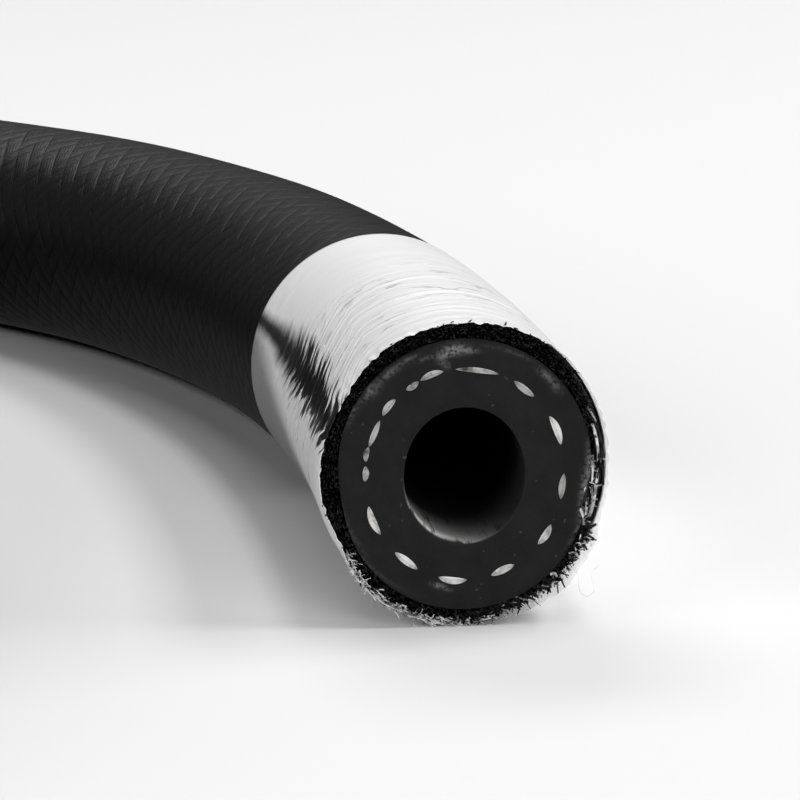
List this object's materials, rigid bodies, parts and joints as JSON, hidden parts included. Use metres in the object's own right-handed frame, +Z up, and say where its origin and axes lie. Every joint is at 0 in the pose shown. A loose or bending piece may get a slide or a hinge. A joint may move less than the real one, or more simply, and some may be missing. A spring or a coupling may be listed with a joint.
{
  "type": "fuel hose",
  "caption": "Length of textile-braided rubber fuel hose laid in a loose flat coil, cut ends bound with clear tape.",
  "frame": {"origin": "below the middle of the hose's bounding box as it lies, on the surface that it rests on", "axes": "+Z up; the front cut end faces -Y and the hose leaves it along +Y, bends to -X and runs into a flat coil"},
  "size_m": [0.2624, 0.229, 0.0178],
  "materials": {
    "rubber": "matte, fresh knife cut, faintly scuffed",
    "yarn": "off-white polyester yarn",
    "textile_braid": "black textile braid with a low soft sheen",
    "clear_tape": "glossy clear film, slightly milky"
  },
  "bodies": {
    "root": {"inner_tube": "rubber", "reinforcement_yarn": "yarn", "rubber_cover": "rubber", "outer_braid": "textile_braid", "end_tape_front": "clear_tape", "end_tape_rear": "clear_tape"}
  },
  "joints": []
}
